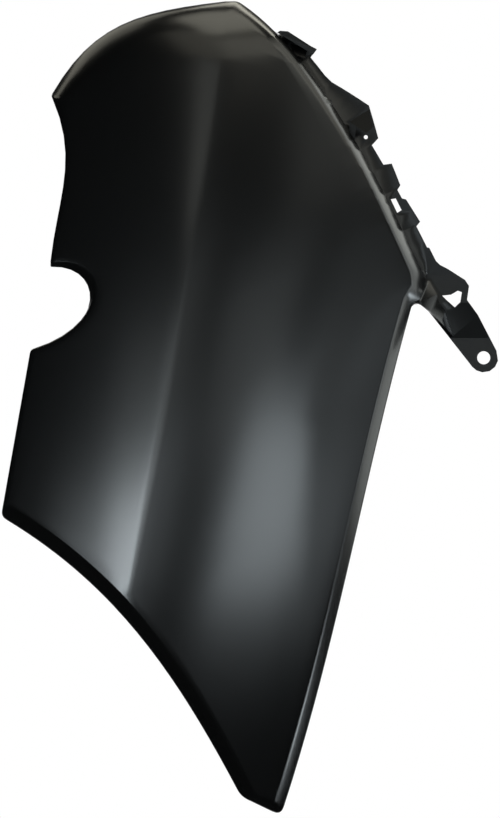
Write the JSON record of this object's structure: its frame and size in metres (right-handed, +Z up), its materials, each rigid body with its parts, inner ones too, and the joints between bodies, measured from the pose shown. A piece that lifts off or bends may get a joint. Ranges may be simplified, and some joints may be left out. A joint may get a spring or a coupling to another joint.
{
  "type": "motorcycle side fairing panel",
  "caption": "Curved one-piece side panel with a crease, a half-round notch, a recessed mounting ledge and an arm ending in a bolt eye.",
  "frame": {"origin": "centre of the bolt eye at the end of the arm, at mid thickness", "axes": "+Z up along the panel from its tip to its peak, +X towards the arm, -Y out of the painted face"},
  "size_m": [0.3225, 0.0892, 0.5275],
  "materials": {
    "panel": "satin black injection moulded plastic, finely grained on the hidden side"
  },
  "bodies": {
    "root": {"fairing_panel": "panel"}
  },
  "joints": []
}
